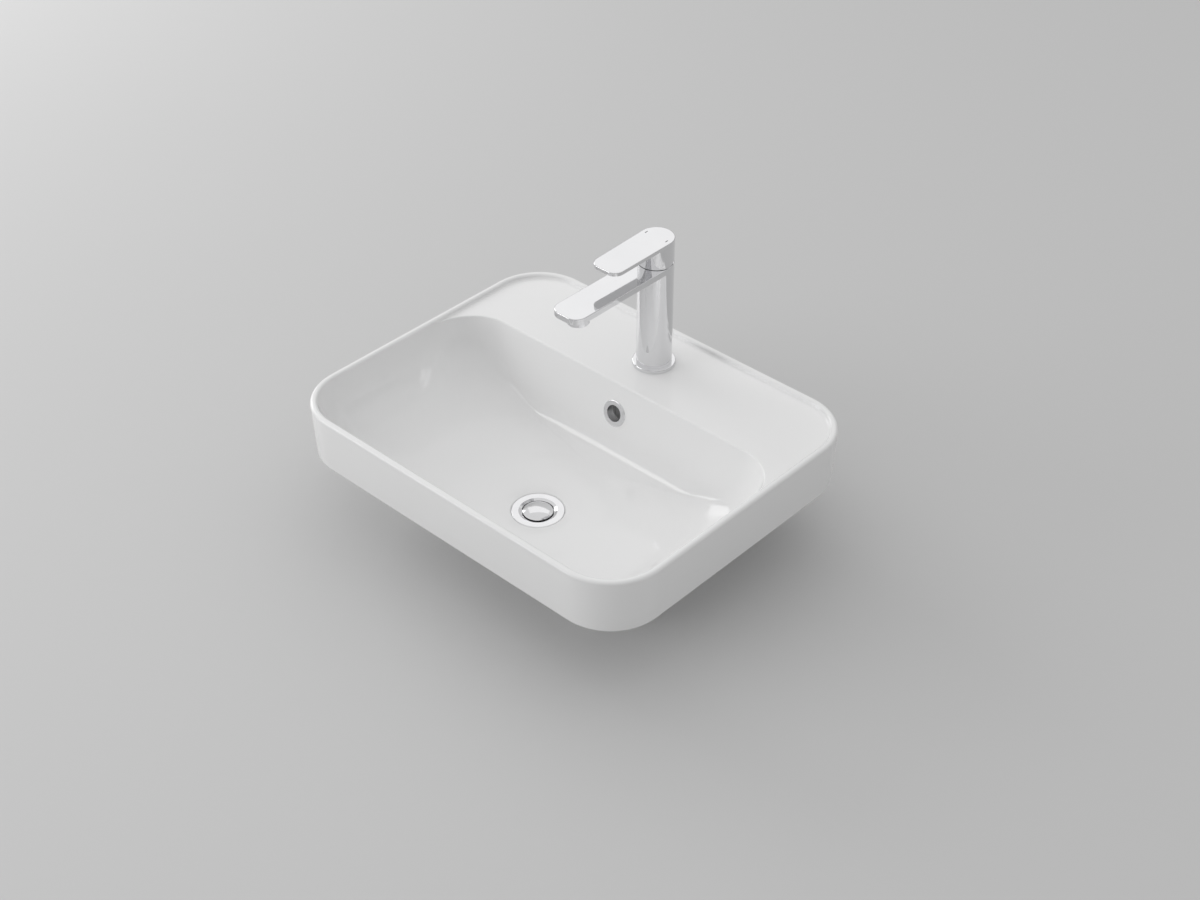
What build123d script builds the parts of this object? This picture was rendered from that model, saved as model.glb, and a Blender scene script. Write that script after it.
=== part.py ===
from build123d import *
import math
import os

# An inset basin with a pop-up waste and a single-lever mixer tap.
# z = 0 is the underside of the foot and +Z is up. +X is to the right of the
# person who washes, and +Y runs back to the tap. All sizes are millimetres.

os.makedirs("parts", exist_ok=True)

# Basin: outer sizes
basin_width = 520.0
basin_depth = 420.0
basin_height = 162.0
band_height = 72.0
band_lean = 2.2
corner_radius = 70.0
rim_width = 8.0
rim_round = 3.4
band_edge_round = 5.0
china_wall = 10.0

# Deck behind the bowl
lip_height = 5.5
lip_lean = 15.0
deck_thickness = 13.0
deck_width = 128.0
tap_from_back = 67.0
tap_hole = 35.0

# Bowl: each wall leans in, bends with its own radius and runs on to the waste
bowl_step = 0.4
loft_overlap = 2.0
waste_from_front = 151.5
waste_depth = 112.3
side_bend = 100.0
side_fall = 6.5
front_lean = 15.0
front_bend = 60.0
front_fall = 6.0
back_lean = 12.5
back_bend = 42.0
back_fall = 4.5
section_depths = (20, 36, 52, 66, 78, 87, 94, 99, 103, 106, 108.5, 110.5, 111.8)
corner_start = 70.0

# Foot ring under the bowl
foot_half_width = 172.0
foot_from_front = 88.0
foot_behind_bowl = 4.0
foot_corner = 38.0
foot_lean = 4.0
foot_wall = 12.0
foot_rise = 92.0
foot_edge_round = 2.0

# Hollow under the deck
hollow_side = 24.0
hollow_behind_bowl = 4.0
hollow_back = 20.0
hollow_corner = 26.0

# Waste hole and overflow channel
waste_hole = 45.0
boss_radius = 39.0
boss_z = 24.0
seat_radius = 31.9
seat_drop = 4.9
dip_lean = 14.5
dip_height = 6.0
floor_start = 34.5
overflow_z = 118.0
overflow_hole = 26.0
channel_width = 34.0
channel_depth = 9.0
channel_height = 8.0
channel_floor = 6.0
channel_behind_bowl = 2.0
channel_top = 132.0
channel_wall = 8.0

# Overflow trim ring
trim_radius = 16.5
trim_bore = 10.5
trim_flange = 1.6
trim_length = 9.0
trim_gap = 0.3
trim_seat = 0.4

# Waste fitting
flange_radius = 31.5
flange_thickness = 2.2
top_seal_thickness = 1.2
top_seal_edge = 1.0
tail_radius = 20.95
tail_bore = 17.9
tail_end = 3.5
spigot_radius = 20.4
spigot_length = 9.0
recess_radius = 23.0
recess_depth = 5.5
recess_floor_radius = 19.6
recess_mouth_drop = 1.6
throat_radius = 16.4
throat_height = 3.0
overflow_slot = 12.0
bridge_height = 6.0
bridge_width = 7.0
bridge_hub = 10.5
barrel_radius = 7.0
barrel_bore = 4.6
barrel_length = 22.0
barrel_floor = 1.5
barrel_top_drop = 9.2
barrel_gap = 0.05
thread_gap = 0.15
bottom_seal_radius = 31.0
bottom_seal_thickness = 3.0
backnut_radius = 31.0
backnut_height = 8.0

# Plug
dome_radius = 18.0
dome_edge = 2.5
dome_rise = 3.0
dome_drop = 1.0
plug_lift = 8.0
plug_seal_radius = 18.6
stem_radius = 4.0
stem_length = 19.0
stem_gap = 0.05
spring_radius = 3.3
spring_wire = 0.35
spring_turns = 4.5

# Tap: column and spout
column_radius = 21.4
body_top_above_rim = 136.0
spout_thickness = 8.0
spout_reach = 155.5
spout_corner = 14.5
edge_round = 0.8
column_wall = 3.0
floor_block = 18.0
base_recess_radius = 15.0
base_recess_depth = 4.0
seat_block = 10.0
waterway_width = 18.0
waterway_height = 4.0
waterway_drop = 2.0
riser_slot_width = 12.0
riser_slot_depth = 2.0
riser_slot_height = 24.0

# Ring at the foot of the column
ring_radius = 26.0
ring_height = 5.0
ring_seat = 2.4
ring_bore = 15.5
ring_fit = 0.05
base_seal_inner = 18.6
base_seal_outer = 22.0
base_seal_height = 1.6

# Inlets, risers and fixing
inlet_x = 7.5
inlet_y = 4.0
inlet_radius = 5.0
inlet_length = 9.0
riser_radius = 4.0
riser_bore = 3.0
riser_socket = 3.0
stud_y = -9.0
stud_radius = 3.0
stud_length = 62.0
stud_socket = 10.0
stud_gap = 0.1
clamp_radius = 24.0
clamp_slot = 25.6
clamp_slot_end = -4.0
clamp_rubber_thickness = 3.0
clamp_plate_thickness = 3.0
fixing_nut_radius = 5.8
fixing_nut_height = 6.0

# Nozzle and aerator under the spout tip
aerator_from_tip = 24.9
nozzle_radius = 13.0
nozzle_drop = 12.0
aerator_radius = 11.6
aerator_length = 14.0
aerator_wall = 1.6
aerator_lip_radius = 12.4
aerator_lip = 0.8
insert_thickness = 5.0
insert_lift = 1.0
insert_hole = 0.9
insert_rings = ((3.0, 6), (6.0, 12))
aerator_seal_thickness = 1.2
aerator_gap = 0.05

# Ceramic cartridge
cartridge_radius = 17.4
cartridge_height = 26.0
cartridge_wall = 2.6
cartridge_gap = 0.1
cartridge_seal_thickness = 1.6
cartridge_neck = 12.6
cartridge_neck_height = 6.0
nut_bore = 13.0
nut_height = 6.5
nut_notch = 3.0
disc_radius = 13.2
disc_thickness = 3.2
disc_gap = 0.05
moving_disc_radius = 9.3
driver_radius = 6.0
driver_height = 9.0
driver_pocket = 6.4
driver_pocket_depth = 4.0
carrier_radius = 13.8
carrier_flange = 4.2
carrier_neck = 9.2
carrier_neck_top = 4.0
carrier_slot_length = 14.6
carrier_gap = 0.35
port_x = 4.8
port_y = 4.8
port_radius = 2.2
port_depth = 5.0
outlet_width = 10.0
outlet_height = 7.0
pin_radius = 1.5
pin_gap = 0.03
spindle_radius = 4.0
spindle_gap = 0.3
spindle_square = 7.0
spindle_round_top = 13.8
spindle_top = 27.0
finger_width = 4.0
finger_drop = 18.0

# Cap over the cartridge
cover_radius = 17.0
cover_wall = 1.2
cover_opening = 10.4

# Handle: hub and lever
hub_gap = 0.5
hub_cavity = 17.6
lever_top_above_rim = 168.7
lever_thickness = 4.4
lever_reach = 90.8
lever_tip_width = 40.0
lever_tip_corner = 12.0
lever_droop = 1.4
lift_angle = 18.0
relief_angle = 19.5
socket_gap = 0.05
grub_radius = 2.5
grub_length = 8.0
grub_above_top = 23.0
screw_plug_radius = 3.4
screw_plug_length = 2.6
mark_length = 4.4
mark_width = 0.9
mark_depth = 0.5
mark_proud = 0.08
mark_x = 15.4

# Places and heights that follow from the sizes above
deck_edge_y = basin_depth / 2 - deck_width
tap_y = basin_depth / 2 - tap_from_back
waste_y = waste_from_front - basin_depth / 2
foot_front = foot_from_front - basin_depth / 2
foot_back = deck_edge_y - foot_behind_bowl
hollow_front = deck_edge_y + hollow_behind_bowl
channel_y = deck_edge_y + channel_behind_bowl
spout_tip_y = tap_y - spout_reach
aerator_y = spout_tip_y + aerator_from_tip
lever_tip_y = tap_y - lever_reach
rim_z = basin_height
counter_z = rim_z - band_height
deck_z = rim_z - lip_height
waste_seat_z = rim_z - waste_depth - seat_drop
flange_bottom_z = waste_seat_z + top_seal_thickness
flange_z = flange_bottom_z + flange_thickness
body_top_z = rim_z + body_top_above_rim
ring_top_z = deck_z + ring_height
body_bottom_z = ring_top_z - ring_seat
inlet_z = body_bottom_z + base_recess_depth
spout_bottom_z = body_top_z - spout_thickness
deck_low = deck_z - deck_thickness
recess_z = flange_z - recess_depth
dome_edge_z = flange_z - dome_drop
dome_bottom_z = dome_edge_z - dome_edge
barrel_top_z = flange_z - barrel_top_drop
pivot_z = body_top_z
cartridge_top = body_top_z - nut_height - 0.2
cartridge_low = cartridge_top - cartridge_height
bore_floor_z = cartridge_low - cartridge_seal_thickness
disc_low = cartridge_low + cartridge_wall
moving_disc_top = disc_low + 2 * disc_thickness + disc_gap
carrier_top = cartridge_top - cartridge_wall - carrier_gap
pin_half_length = math.sqrt(carrier_neck**2 - pin_radius**2)
cover_base_z = cartridge_top + nut_height
hub_low = body_top_z + hub_gap
lever_top_z = rim_z + lever_top_above_rim
mark_low = lever_top_z - mark_depth
screw_plug_start = column_radius - screw_plug_length - 0.2
channel_back = channel_y + channel_depth + channel_wall


def tan(degrees):
    return math.tan(math.radians(degrees))


# The overflow hole runs square to the back wall, from the bowl to the channel.
overflow_y = deck_edge_y - (deck_z - overflow_z) * tan(back_lean)
overflow_wall = Plane(origin=(0, overflow_y, overflow_z), x_dir=(1, 0, 0), z_dir=(0, -1, tan(back_lean)))
overflow_plane = overflow_wall.offset(-trim_seat)
overflow_reach = channel_y + channel_depth / 2 - overflow_y

# Planes and axes through the waste and the tap.
on_base = (Align.CENTER, Align.CENTER, Align.MIN)
on_top = (Align.CENTER, Align.CENTER, Align.MAX)
waste_section = Plane(origin=(0, waste_y, 0), x_dir=(1, 0, 0), z_dir=(0, -1, 0))
waste_axis = Axis((0, waste_y, 0), (0, 0, 1))
tap_section = Plane(origin=(0, tap_y, 0), x_dir=(1, 0, 0), z_dir=(0, -1, 0))
tap_axis = Axis((0, tap_y, 0), (0, 0, 1))
pivot_plane = Plane(origin=(0, tap_y, pivot_z), x_dir=(0, 1, 0), z_dir=(1, 0, 0))
grub_plane = Plane(origin=(0, tap_y, body_top_z + grub_above_top), x_dir=(1, 0, 0), z_dir=(0, 1, 0))


# Shape of the bowl
# Each side is a leaning wall, an arc and a floor that falls to the waste. The
# reach is how far the surface lies from the waste at one depth below the rim.
def bowl_reach(depth, mouth, lean, bend, fall, grow=0.0):
    lean, fall = math.radians(lean), math.radians(fall)
    radius = bend + grow
    mouth = mouth + grow / math.cos(lean)
    low = waste_depth + grow
    start = floor_start
    a, b = -math.cos(lean), math.sin(lean)
    c, d = -math.sin(fall), math.cos(fall)
    first = radius + a * mouth
    second = radius + c * start - d * low
    across = a * d - b * c
    centre = (first * d - b * second) / across
    height = (a * second - c * first) / across
    if -depth >= height - radius * b:
        return mouth - depth * math.tan(lean)
    if -depth >= height - radius * d:
        return centre + math.sqrt(radius**2 - (depth + height) ** 2)
    return start + (low - depth) / math.tan(fall)


def bowl_outline(depth, grow=0.0):
    side_mouth = basin_width / 2 - rim_width - bowl_step
    front_mouth = basin_depth / 2 - rim_width - bowl_step + waste_y
    back_mouth = deck_edge_y + lip_height * tan(back_lean) - waste_y
    side = bowl_reach(depth, side_mouth, lip_lean, side_bend, side_fall, grow)
    front = bowl_reach(depth, front_mouth, front_lean, front_bend, front_fall, grow)
    back = bowl_reach(depth, back_mouth, back_lean, back_bend, back_fall, grow)
    small = min(side, (front + back) / 2)
    inner_corner = corner_radius - rim_width - bowl_step - lip_height * tan(lip_lean) + grow
    at_deck = inner_corner / ((front_mouth + back_mouth) / 2 - lip_height * tan(lip_lean) + grow)
    share = max(0.0, (depth - corner_start) / (waste_depth + grow - corner_start))
    corner = small * (at_deck + (0.97 - at_deck) * share**2)
    return 2 * side, front + back, corner, waste_y + (back - front) / 2


# Basin
# The space inside the bowl, lofted through its outlines.
with BuildPart() as bowl_space:
    for level in (lip_height - loft_overlap,) + section_depths:
        width, length, corner, middle = bowl_outline(level)
        with BuildSketch(Plane.XY.offset(rim_z - level)):
            with Locations((0, middle)):
                RectangleRounded(width, length, corner)
    loft()

# The belly is the same shape, one wall thickness further out.
with BuildPart() as belly:
    low_levels = tuple(depth + china_wall * depth / waste_depth for depth in section_depths)
    for level in (lip_height + deck_thickness - loft_overlap,) + low_levels:
        width, length, corner, middle = bowl_outline(level, china_wall)
        with BuildSketch(Plane.XY.offset(rim_z - level)):
            with Locations((0, middle)):
                RectangleRounded(width, length, corner)
    loft()

# What is hollow: the space under the deck and the space inside the foot ring.
with BuildPart() as hollow:
    hollow_width = basin_width - 2 * hollow_side
    hollow_length = basin_depth / 2 - hollow_back - hollow_front
    with BuildSketch(Plane.XY.offset(counter_z)):
        with Locations((0, hollow_front + hollow_length / 2)):
            RectangleRounded(hollow_width, hollow_length, hollow_corner)
    extrude(amount=deck_low - counter_z)
    inner_width = 2 * (foot_half_width - foot_wall)
    inner_length = foot_back - foot_front - 2 * foot_wall
    with BuildSketch(Plane.XY):
        with Locations((0, (foot_back + foot_front) / 2)):
            RectangleRounded(inner_width, inner_length, foot_corner - foot_wall)
    extrude(amount=foot_rise - foot_wall, taper=-foot_lean)
    add(belly.part, mode=Mode.SUBTRACT)

with BuildPart() as basin_body:
    # The band, leaning in slightly towards the counter.
    with BuildSketch(Plane.XY.offset(rim_z)):
        RectangleRounded(basin_width, basin_depth, corner_radius)
    extrude(amount=-band_height, taper=band_lean)
    fillet(basin_body.edges().group_by(Axis.Z)[0], band_edge_round)
    # The pocket inside the rim, down to the deck, with its rounded rim.
    with BuildSketch(Plane.XY.offset(rim_z)):
        inner_corner = corner_radius - rim_width
        RectangleRounded(basin_width - 2 * rim_width, basin_depth - 2 * rim_width, inner_corner)
    extrude(amount=-lip_height, taper=lip_lean, mode=Mode.SUBTRACT)
    fillet(basin_body.edges().group_by(Axis.Z)[-1], rim_round)
    # Below the counter line: the belly of the bowl and the foot ring.
    with BuildSketch(Plane.XY):
        with Locations((0, (foot_back + foot_front) / 2)):
            RectangleRounded(2 * foot_half_width, foot_back - foot_front, foot_corner)
    extrude(amount=foot_rise, taper=-foot_lean)
    fillet(basin_body.edges().group_by(Axis.Z)[0], foot_edge_round)
    add(belly.part)
    add(hollow.part, mode=Mode.SUBTRACT)
    # The boss round the waste and the overflow channel from the wall to it.
    with BuildSketch(Plane.XY.offset(boss_z)):
        with Locations((0, waste_y)):
            Circle(boss_radius)
        with Locations((0, (waste_y + channel_back) / 2)):
            Rectangle(channel_width + 2 * channel_wall, channel_back - waste_y)
    extrude(amount=rim_z - waste_depth - boss_z)
    with BuildSketch(Plane.XY.offset(boss_z)):
        with Locations((0, channel_y + channel_depth / 2)):
            Rectangle(channel_width + 2 * channel_wall, channel_depth + 2 * channel_wall)
    extrude(amount=channel_top + channel_wall - boss_z)
    # The bowl itself, and everything that is bored through the china.
    add(bowl_space.part, mode=Mode.SUBTRACT)
    with BuildSketch(Plane.XY.offset(boss_z + channel_floor)):
        with Locations((0, (waste_y + channel_y + channel_depth) / 2)):
            Rectangle(channel_width, channel_y + channel_depth - waste_y)
    extrude(amount=channel_height, mode=Mode.SUBTRACT)
    with BuildSketch(Plane.XY.offset(boss_z + channel_floor)):
        with Locations((0, channel_y + channel_depth / 2)):
            Rectangle(channel_width, channel_depth)
    extrude(amount=channel_top - boss_z - channel_floor, mode=Mode.SUBTRACT)
    with Locations((0, waste_y, waste_seat_z)):
        Hole(waste_hole / 2, depth=waste_seat_z)
        Cylinder(seat_radius, seat_drop + 1, align=on_base, mode=Mode.SUBTRACT)
    with Locations((0, waste_y, flange_z)):
        dip_radius = seat_radius + dip_height / tan(dip_lean)
        Cone(seat_radius, dip_radius, dip_height, align=on_base, mode=Mode.SUBTRACT)
    with Locations((0, tap_y, deck_z)):
        Hole(tap_hole / 2, depth=deck_thickness)
    with Locations(overflow_plane):
        Cylinder(overflow_hole / 2, 2 * overflow_reach, mode=Mode.SUBTRACT)
        Cylinder(trim_radius + trim_gap, 3 * trim_flange, align=on_base, mode=Mode.SUBTRACT)
basin_body.part.label = "basin_body"
export_step(basin_body.part, "parts/basin_body.step")

# Overflow trim: a flange on the wall and a sleeve in the hole.
with BuildPart() as overflow_trim:
    with BuildSketch(overflow_plane):
        Circle(trim_radius)
    extrude(amount=trim_flange)
    fillet(overflow_trim.edges().sort_by(Axis.Y)[:1], trim_flange / 2)
    with BuildSketch(overflow_plane):
        Circle(overflow_hole / 2 - trim_gap)
    extrude(amount=-trim_length)
    with Locations(overflow_plane.offset(trim_flange)):
        Hole(trim_bore, depth=trim_flange + trim_length)
overflow_trim.part.label = "overflow_trim"
export_step(overflow_trim.part, "parts/overflow_trim.step")

# Waste
# The flange, the cone that the dome sits in, the tail and its cross bridge.
with BuildPart() as waste_body:
    with BuildSketch(waste_section):
        with BuildLine():
            Polyline(
                (recess_radius, flange_z),
                (flange_radius, flange_z),
                (flange_radius, flange_bottom_z),
                (tail_radius, flange_bottom_z),
                (tail_radius, tail_end + spigot_length),
                (spigot_radius, tail_end + spigot_length),
                (spigot_radius, tail_end),
                (tail_bore, tail_end),
                (tail_bore, recess_z - throat_height),
                (throat_radius, recess_z - throat_height),
                (throat_radius, recess_z),
                (recess_floor_radius, recess_z),
                (recess_floor_radius, flange_z - recess_mouth_drop),
                close=True,
            )
        make_face()
    revolve(axis=waste_axis)
    fillet(waste_body.edges().group_by(Axis.Z)[-1].sort_by(SortBy.RADIUS)[-1], edge_round)
    with BuildSketch(Plane.XY.offset(barrel_top_z - barrel_length)):
        with Locations((0, waste_y)):
            Circle(bridge_hub)
            Rectangle(2 * tail_bore + 1, bridge_width)
    extrude(amount=bridge_height)
    with Locations((0, waste_y, barrel_top_z)):
        Hole(barrel_radius + barrel_gap, depth=barrel_length)
    with BuildSketch(Plane.XY.offset(boss_z + channel_floor)):
        with Locations((0, waste_y)):
            Rectangle(overflow_slot, 2 * flange_radius)
            Rectangle(2 * flange_radius, overflow_slot)
            Circle(tail_bore, mode=Mode.SUBTRACT)
    extrude(amount=channel_height, mode=Mode.SUBTRACT)
waste_body.part.label = "waste_body"
export_step(waste_body.part, "parts/waste_body.step")

with BuildPart() as waste_top_seal:
    with BuildSketch(Plane.XY.offset(waste_seat_z)):
        with Locations((0, waste_y)):
            Circle(flange_radius - top_seal_edge)
            Circle(waste_hole / 2, mode=Mode.SUBTRACT)
    extrude(amount=top_seal_thickness)
waste_top_seal.part.label = "waste_top_seal"
export_step(waste_top_seal.part, "parts/waste_top_seal.step")

with BuildPart() as waste_bottom_seal:
    with BuildSketch(Plane.XY.offset(boss_z)):
        with Locations((0, waste_y)):
            Circle(bottom_seal_radius)
            Circle(tail_radius + thread_gap, mode=Mode.SUBTRACT)
    extrude(amount=-bottom_seal_thickness)
waste_bottom_seal.part.label = "waste_bottom_seal"
export_step(waste_bottom_seal.part, "parts/waste_bottom_seal.step")

with BuildPart() as waste_backnut:
    with BuildSketch(Plane.XY.offset(boss_z - bottom_seal_thickness)):
        with Locations((0, waste_y)):
            RegularPolygon(backnut_radius, 8)
            Circle(tail_radius + thread_gap, mode=Mode.SUBTRACT)
    extrude(amount=-backnut_height)
waste_backnut.part.label = "waste_backnut"
export_step(waste_backnut.part, "parts/waste_backnut.step")

with BuildPart() as click_cartridge:
    with BuildSketch(Plane.XY.offset(barrel_top_z - barrel_length)):
        with Locations((0, waste_y)):
            Circle(barrel_radius)
    extrude(amount=barrel_length)
    with Locations((0, waste_y, barrel_top_z)):
        Hole(barrel_bore, depth=barrel_length - barrel_floor)
click_cartridge.part.label = "click_cartridge"
export_step(click_cartridge.part, "parts/click_cartridge.step")

# Plug: the dome, its seal and the stem that slides in the barrel.
with BuildPart() as plug_dome:
    with BuildSketch(waste_section):
        with BuildLine():
            Polyline(
                (0, dome_edge_z + dome_rise),
                (0, dome_bottom_z),
                (dome_radius, dome_bottom_z),
                (dome_radius, dome_edge_z),
            )
            TangentArc((0, dome_edge_z + dome_rise), (dome_radius, dome_edge_z), tangent=(1, 0))
        make_face()
    revolve(axis=waste_axis)
plug_dome.part.label = "plug_dome"
export_step(plug_dome.part, "parts/plug_dome.step")

with BuildPart() as plug_seal:
    with BuildSketch(Plane.XY.offset(recess_z)):
        with Locations((0, waste_y)):
            Circle(plug_seal_radius)
            Circle(stem_radius + stem_gap, mode=Mode.SUBTRACT)
    extrude(amount=dome_bottom_z - recess_z)
plug_seal.part.label = "plug_seal"
export_step(plug_seal.part, "parts/plug_seal.step")

with BuildPart() as plug_stem:
    with BuildSketch(Plane.XY.offset(dome_bottom_z)):
        with Locations((0, waste_y)):
            Circle(stem_radius)
    extrude(amount=-stem_length)
plug_stem.part.label = "plug_stem"
export_step(plug_stem.part, "parts/plug_stem.step")

spring_low = barrel_top_z - barrel_length + barrel_floor + spring_wire
spring_high = dome_bottom_z - stem_length - spring_wire
with BuildPart() as click_spring:
    with BuildLine():
        spring_pitch = (spring_high - spring_low) / spring_turns
        coil = Helix(spring_pitch, spring_high - spring_low, spring_radius, center=(0, waste_y, spring_low))
    with BuildSketch(Plane(origin=coil @ 0, z_dir=coil % 0)):
        Circle(spring_wire)
    sweep()
click_spring.part.label = "click_spring"
export_step(click_spring.part, "parts/click_spring.step")

# Tap
# The outline that the hub, the spout and the lever share: a round end on the
# column and straight sides to a tip with rounded corners.
with BuildSketch() as spout_outline:
    with Locations((0, (tap_y + spout_tip_y) / 2)):
        Rectangle(2 * column_radius, tap_y - spout_tip_y)
    fillet(spout_outline.vertices().group_by(Axis.Y)[0], spout_corner)
    with Locations((0, tap_y)):
        Circle(column_radius)

with BuildSketch() as lever_outline:
    with BuildLine():
        Polyline(
            (-lever_tip_width / 2, lever_tip_y),
            (lever_tip_width / 2, lever_tip_y),
            (column_radius, tap_y),
            (-column_radius, tap_y),
            close=True,
        )
    make_face()
    fillet(lever_outline.vertices().group_by(Axis.Y)[0], lever_tip_corner)
    with Locations((0, tap_y)):
        Circle(column_radius)

with BuildPart() as tap_body:
    with BuildSketch(Plane.XY.offset(spout_bottom_z)):
        add(spout_outline.sketch)
    extrude(amount=spout_thickness)
    fillet(tap_body.edges().group_by(Axis.Z)[-1], edge_round)
    fillet(tap_body.edges().group_by(Axis.Z)[0].sort_by(Axis.Y)[:5], edge_round)
    with BuildSketch(Plane.XY.offset(body_bottom_z)):
        with Locations((0, tap_y)):
            Circle(column_radius)
    extrude(amount=body_top_z - edge_round - body_bottom_z)
    with BuildSketch(Plane.XY.offset(spout_bottom_z)):
        with Locations((0, aerator_y)):
            Circle(nozzle_radius)
    extrude(amount=-nozzle_drop)
    # Cartridge bore from the top and hollow column below its seat.
    with Locations((0, tap_y, body_top_z)):
        Hole(cartridge_radius + cartridge_gap, depth=body_top_z - bore_floor_z)
    with BuildSketch(Plane.XY.offset(body_bottom_z + floor_block)):
        with Locations((0, tap_y)):
            Circle(column_radius - column_wall)
    extrude(amount=bore_floor_z - seat_block - body_bottom_z - floor_block, mode=Mode.SUBTRACT)
    # Waterway: up a slot in the bore wall, along the spout and into the nozzle.
    with BuildSketch(Plane.XY.offset(body_top_z - waterway_drop)):
        with Locations((0, (tap_y + aerator_y) / 2)):
            Rectangle(waterway_width, tap_y - aerator_y)
    extrude(amount=-waterway_height, mode=Mode.SUBTRACT)
    with BuildSketch(Plane.XY.offset(body_top_z - waterway_drop)):
        with Locations((0, tap_y - cartridge_radius)):
            Rectangle(riser_slot_width, 2 * riser_slot_depth)
    extrude(amount=-riser_slot_height, mode=Mode.SUBTRACT)
    with Locations((0, aerator_y, spout_bottom_z - nozzle_drop)):
        Cylinder(
            aerator_radius + aerator_gap,
            aerator_length,
            align=on_base,
            mode=Mode.SUBTRACT,
        )
        Cylinder(
            aerator_radius - aerator_wall,
            nozzle_drop + spout_thickness - waterway_drop - waterway_height + 1,
            align=on_base,
            mode=Mode.SUBTRACT,
        )
    # A recess in the base, and the inlets, riser sockets and stud's hole above it.
    with Locations((0, tap_y, body_bottom_z)):
        Cylinder(base_recess_radius, base_recess_depth, align=on_base, mode=Mode.SUBTRACT)
    for side in (-1, 1):
        with Locations((side * inlet_x, tap_y + inlet_y, inlet_z)):
            Cylinder(inlet_radius, inlet_length, align=on_base, mode=Mode.SUBTRACT)
            Cylinder(riser_bore, floor_block - base_recess_depth, align=on_base, mode=Mode.SUBTRACT)
        with Locations((side * inlet_x, tap_y + inlet_y, body_bottom_z + floor_block)):
            Cylinder(riser_radius, riser_socket, align=on_top, mode=Mode.SUBTRACT)
        with Locations((side * inlet_x, tap_y + inlet_y, bore_floor_z - seat_block)):
            Cylinder(riser_radius, riser_socket, align=on_base, mode=Mode.SUBTRACT)
            Cylinder(riser_bore, seat_block - port_depth / 2, align=on_base, mode=Mode.SUBTRACT)
        with Locations((side * port_x, tap_y + port_y, bore_floor_z)):
            Cylinder(port_radius, port_depth, align=on_top, mode=Mode.SUBTRACT)
    with Locations((0, tap_y + stud_y, inlet_z)):
        Cylinder(stud_radius + stud_gap, stud_socket, align=on_base, mode=Mode.SUBTRACT)
tap_body.part.label = "tap_body"
export_step(tap_body.part, "parts/tap_body.step")

with BuildPart() as base_ring:
    with BuildSketch(Plane.XY.offset(deck_z)):
        with Locations((0, tap_y)):
            Circle(ring_radius)
    extrude(amount=ring_height)
    fillet(base_ring.edges().group_by(Axis.Z)[-1], edge_round)
    with Locations((0, tap_y, ring_top_z)):
        CounterBoreHole(ring_bore, column_radius + ring_fit, ring_seat, depth=ring_height)
    with BuildSketch(Plane.XY.offset(deck_z)):
        with Locations((0, tap_y)):
            Circle(base_seal_outer + ring_fit)
            Circle(base_seal_inner - ring_fit, mode=Mode.SUBTRACT)
    extrude(amount=base_seal_height, mode=Mode.SUBTRACT)
base_ring.part.label = "base_ring"
export_step(base_ring.part, "parts/base_ring.step")

with BuildPart() as base_seal:
    with BuildSketch(Plane.XY.offset(deck_z)):
        with Locations((0, tap_y)):
            Circle(base_seal_outer)
            Circle(base_seal_inner, mode=Mode.SUBTRACT)
    extrude(amount=base_seal_height)
base_seal.part.label = "base_seal"
export_step(base_seal.part, "parts/base_seal.step")

# The two riser tubes, from the inlets to the cartridge seat.
riser_low = body_bottom_z + floor_block - riser_socket
riser_high = bore_floor_z - seat_block + riser_socket
for side, riser_name in ((-1, "hot_riser"), (1, "cold_riser")):
    with BuildPart() as riser:
        with BuildSketch(Plane.XY.offset(riser_low)):
            with Locations((side * inlet_x, tap_y + inlet_y)):
                Circle(riser_radius)
                Circle(riser_bore, mode=Mode.SUBTRACT)
        extrude(amount=riser_high - riser_low)
    riser.part.label = riser_name
    export_step(riser.part, f"parts/{riser_name}.step")

# Fixing under the deck: stud, rubber, horseshoe plate and nut.
with BuildPart() as fixing_stud:
    with BuildSketch(Plane.XY.offset(inlet_z + stud_socket)):
        with Locations((0, tap_y + stud_y)):
            Circle(stud_radius)
    extrude(amount=-stud_length)
fixing_stud.part.label = "fixing_stud"
export_step(fixing_stud.part, "parts/fixing_stud.step")

with BuildSketch() as horseshoe:
    with Locations((0, tap_y)):
        Circle(clamp_radius)
    with Locations((0, tap_y + clamp_slot_end + clamp_radius)):
        Rectangle(clamp_slot, 2 * clamp_radius, mode=Mode.SUBTRACT)
    with Locations((0, tap_y + stud_y)):
        Circle(stud_radius + stud_gap, mode=Mode.SUBTRACT)

with BuildPart() as clamp_rubber:
    with BuildSketch(Plane.XY.offset(deck_low)):
        add(horseshoe.sketch)
    extrude(amount=-clamp_rubber_thickness)
clamp_rubber.part.label = "clamp_rubber"
export_step(clamp_rubber.part, "parts/clamp_rubber.step")

with BuildPart() as clamp_plate:
    with BuildSketch(Plane.XY.offset(deck_low - clamp_rubber_thickness)):
        add(horseshoe.sketch)
    extrude(amount=-clamp_plate_thickness)
clamp_plate.part.label = "clamp_plate"
export_step(clamp_plate.part, "parts/clamp_plate.step")

with BuildPart() as fixing_nut:
    with BuildSketch(Plane.XY.offset(deck_low - clamp_rubber_thickness - clamp_plate_thickness)):
        with Locations((0, tap_y + stud_y)):
            RegularPolygon(fixing_nut_radius, 6)
            Circle(stud_radius + stud_gap, mode=Mode.SUBTRACT)
    extrude(amount=-fixing_nut_height)
fixing_nut.part.label = "fixing_nut"
export_step(fixing_nut.part, "parts/fixing_nut.step")

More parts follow.
